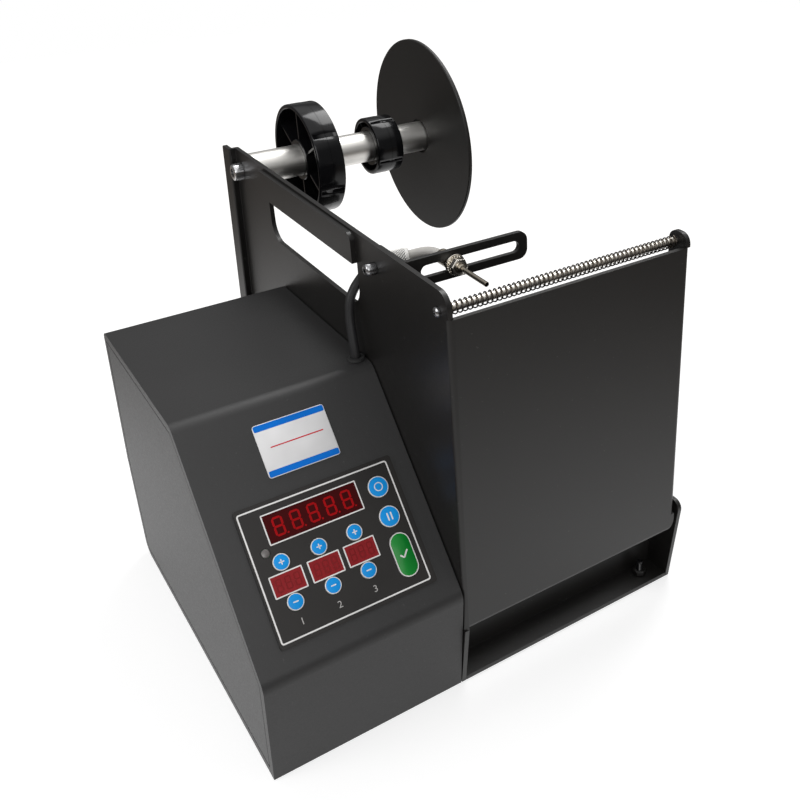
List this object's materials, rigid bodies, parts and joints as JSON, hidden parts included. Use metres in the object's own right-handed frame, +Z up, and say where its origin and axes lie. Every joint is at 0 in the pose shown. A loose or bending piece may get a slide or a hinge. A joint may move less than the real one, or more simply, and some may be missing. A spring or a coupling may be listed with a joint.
{
  "type": "label dispenser",
  "caption": "Bench label dispenser: bent side and front plate with a label roll shaft, core wheels and guard disc, a label sensor on a slotted bracket, and a sloping keypad box.",
  "frame": {"origin": "under the middle of the machine's outer box, on the table's surface", "axes": "+X to the right along the roll shaft, +Y back from the front plate, +Z up"},
  "size_m": [0.2504, 0.3141, 0.2824],
  "materials": {
    "black_powder_coat": "satin black powder coat",
    "charcoal_texture": "fine-textured charcoal powder coat",
    "satin_aluminium": "satin",
    "bright_chrome": "bright",
    "nickel": "nickel-plated, satin",
    "dark_spring_steel": "oiled dark spring steel",
    "black_plastic": "gloss black",
    "rubber": "matte black",
    "keypad_film": "matte dark film",
    "blue_key": "blue",
    "green_key": "green",
    "red_display": "dark red, tinted",
    "badge_white": "white",
    "grey_lead": "light grey",
    "black_lead": "black",
    "board_green": "green solder mask",
    "motor_can": "grey"
  },
  "bodies": {
    "machine": {"badge_plate": "badge_white", "base_tray": "black_powder_coat", "box_wrap": "charcoal_texture", "bracket_bolt": "bright_chrome", "bracket_nut": "bright_chrome", "control_board": "board_green", "counter_lens": "red_display", "feed_motor": "motor_can", "floor_pan": "charcoal_texture", "fork_rod": "bright_chrome", "fuse_holder": "black_plastic", "guide_rod": "nickel", "keypad_panel": "keypad_film", "lead_grommet": "rubber", "length_lens": "red_display", "light_eye": "black_plastic", "motor_bracket": "bright_chrome", "power_inlet": "black_plastic", "power_supply": "motor_can", "rod_screw": "bright_chrome", "rows_lens": "red_display", "sensor_lead_black": "black_lead", "shaft_bolt": "bright_chrome", "shaft_end_cap": "black_plastic", "shaft_tube": "satin_aluminium", "side_frame": "black_powder_coat", "side_panel": "charcoal_texture", "speed_lens": "red_display", "switch_frame": "black_plastic", "tray_nut": "black_powder_coat", "tray_stud": "black_powder_coat"},
    "big_wheel": {"big_core_wheel": "black_plastic"},
    "small_wheel": {"small_core_wheel": "black_plastic"},
    "disc": {"guard_disc": "black_powder_coat", "set_screw": "bright_chrome"},
    "bracket": {"sensor_bracket": "black_powder_coat", "lead_sleeve": "grey_lead", "sensor_lead_grey": "grey_lead"},
    "sensor": {"sensor_body": "nickel", "sensor_nut": "nickel", "star_washer": "nickel"},
    "spring": {"guide_spring": "dark_spring_steel"},
    "feed_roller": {"drive_roller": "rubber", "drive_shaft": "bright_chrome", "roller_gear": "black_plastic"},
    "pinion": {"motor_pinion": "bright_chrome"},
    "fork": {"pinch_fork": "bright_chrome", "pinch_axle": "bright_chrome"},
    "pinch": {"pinch_roller": "rubber"},
    "switch": {"rocker": "black_plastic"},
    "speed_up_key_body": {"speed_up_key": "blue_key"},
    "speed_down_key_body": {"speed_down_key": "blue_key"},
    "length_up_key_body": {"length_up_key": "blue_key"},
    "length_down_key_body": {"length_down_key": "blue_key"},
    "rows_up_key_body": {"rows_up_key": "blue_key"},
    "rows_down_key_body": {"rows_down_key": "blue_key"},
    "reset_key_body": {"reset_key": "blue_key"},
    "pause_key_body": {"pause_key": "blue_key"},
    "confirm_key_body": {"confirm_key": "green_key"}
  },
  "joints": [
    {"name": "big_wheel_spin", "type": "hinge", "parent": "machine", "child": "big_wheel", "pos_m": [0.02375, 0.0933, 0.2187], "axis": [1, 0, 0], "continuous": true},
    {"name": "small_wheel_spin", "type": "hinge", "parent": "machine", "child": "small_wheel", "pos_m": [0.07275, 0.0933, 0.2187], "axis": [1, 0, 0], "continuous": true},
    {"name": "disc_slide", "type": "slide", "parent": "machine", "child": "disc", "axis": [1, 0, 0], "range_m": [-0.009, 0.003]},
    {"name": "bracket_tilt", "type": "hinge", "parent": "machine", "child": "bracket", "pos_m": [-0.01625, -0.0857, 0.2183], "axis": [1, 0, 0], "range_deg": [-25, 30], "deforming": ["sensor_lead_black"]},
    {"name": "sensor_slide", "type": "slide", "parent": "bracket", "child": "sensor", "axis": [1, 0, 0], "range_m": [-0.0145, 0.0345], "deforming": ["sensor_lead_grey"]},
    {"name": "spring_spin", "type": "hinge", "parent": "machine", "child": "spring", "pos_m": [0.04975, -0.1469, 0.2191], "axis": [1, 0, 0], "continuous": true},
    {"name": "feed_spin", "type": "hinge", "parent": "machine", "child": "feed_roller", "pos_m": [0.04975, -0.1154, 0.046], "axis": [1, 0, 0], "continuous": true},
    {"name": "pinion_spin", "type": "hinge", "parent": "machine", "child": "pinion", "pos_m": [-0.02825, -0.09462, 0.058], "axis": [1, 0, 0], "continuous": true},
    {"name": "pinch_swing", "type": "hinge", "parent": "machine", "child": "fork", "pos_m": [0.04975, -0.0914, 0.019], "axis": [-1, 0, 0], "range_deg": [0, 12]},
    {"name": "pinch_spin", "type": "hinge", "parent": "fork", "child": "pinch", "pos_m": [0.04975, -0.097, 0.03742], "axis": [1, 0, 0], "continuous": true},
    {"name": "rocker_tilt", "type": "hinge", "parent": "machine", "child": "switch", "pos_m": [-0.05025, 0.0589, 0.042], "axis": [1, 0, 0], "range_deg": [0, 24]},
    {"name": "speed_up_key_press", "type": "slide", "parent": "machine", "child": "speed_up_key_body", "axis": [0, 0.7509, -0.6605], "range_m": [0, 0.0008], "stiffness_N_per_m": 200},
    {"name": "speed_down_key_press", "type": "slide", "parent": "machine", "child": "speed_down_key_body", "axis": [0, 0.7509, -0.6605], "range_m": [0, 0.0008], "stiffness_N_per_m": 200},
    {"name": "length_up_key_press", "type": "slide", "parent": "machine", "child": "length_up_key_body", "axis": [0, 0.7509, -0.6605], "range_m": [0, 0.0008], "stiffness_N_per_m": 200},
    {"name": "length_down_key_press", "type": "slide", "parent": "machine", "child": "length_down_key_body", "axis": [0, 0.7509, -0.6605], "range_m": [0, 0.0008], "stiffness_N_per_m": 200},
    {"name": "rows_up_key_press", "type": "slide", "parent": "machine", "child": "rows_up_key_body", "axis": [0, 0.7509, -0.6605], "range_m": [0, 0.0008], "stiffness_N_per_m": 200},
    {"name": "rows_down_key_press", "type": "slide", "parent": "machine", "child": "rows_down_key_body", "axis": [0, 0.7509, -0.6605], "range_m": [0, 0.0008], "stiffness_N_per_m": 200},
    {"name": "reset_key_press", "type": "slide", "parent": "machine", "child": "reset_key_body", "axis": [0, 0.7509, -0.6605], "range_m": [0, 0.0008], "stiffness_N_per_m": 200},
    {"name": "pause_key_press", "type": "slide", "parent": "machine", "child": "pause_key_body", "axis": [0, 0.7509, -0.6605], "range_m": [0, 0.0008], "stiffness_N_per_m": 200},
    {"name": "confirm_key_press", "type": "slide", "parent": "machine", "child": "confirm_key_body", "axis": [0, 0.7509, -0.6605], "range_m": [0, 0.0008], "stiffness_N_per_m": 200}
  ],
  "couplings": [
    {"joint": "pinion_spin", "follows": "feed_spin", "ratio": -2},
    {"joint": "pinch_spin", "follows": "feed_spin", "ratio": -1.5}
  ]
}
